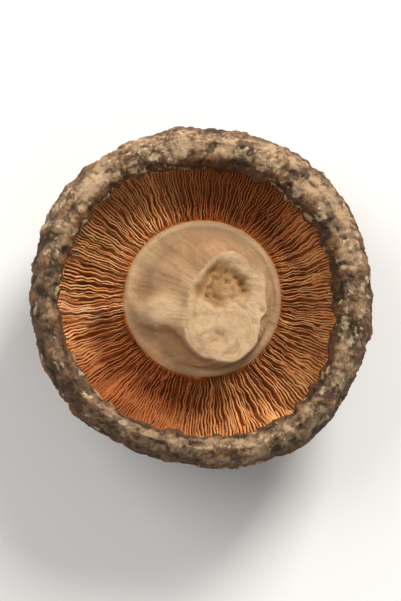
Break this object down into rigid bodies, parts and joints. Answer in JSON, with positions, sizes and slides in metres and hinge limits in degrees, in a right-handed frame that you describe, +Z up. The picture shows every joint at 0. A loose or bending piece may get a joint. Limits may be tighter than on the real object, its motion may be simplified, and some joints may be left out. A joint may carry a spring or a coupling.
{
  "type": "dried shiitake mushroom",
  "caption": "Dried shiitake mushroom lying on its cap, gills up, with a thick inrolled rim, crowded radial gills and a short trimmed stem, for food and kitchen scenes.",
  "frame": {"origin": "on the surface that the crown of the cap rests on, under the middle of the cap", "axes": "+Z up, the way the gills and the cut stem face; +X towards the side that the stem leans to"},
  "size_m": [0.0494, 0.0494, 0.0192],
  "materials": {
    "dried_mushroom": "dry and matt: wrinkled brown cap skin, orange-brown gills, pale tan stem"
  },
  "bodies": {
    "root": {"mushroom": "dried_mushroom"}
  },
  "joints": []
}
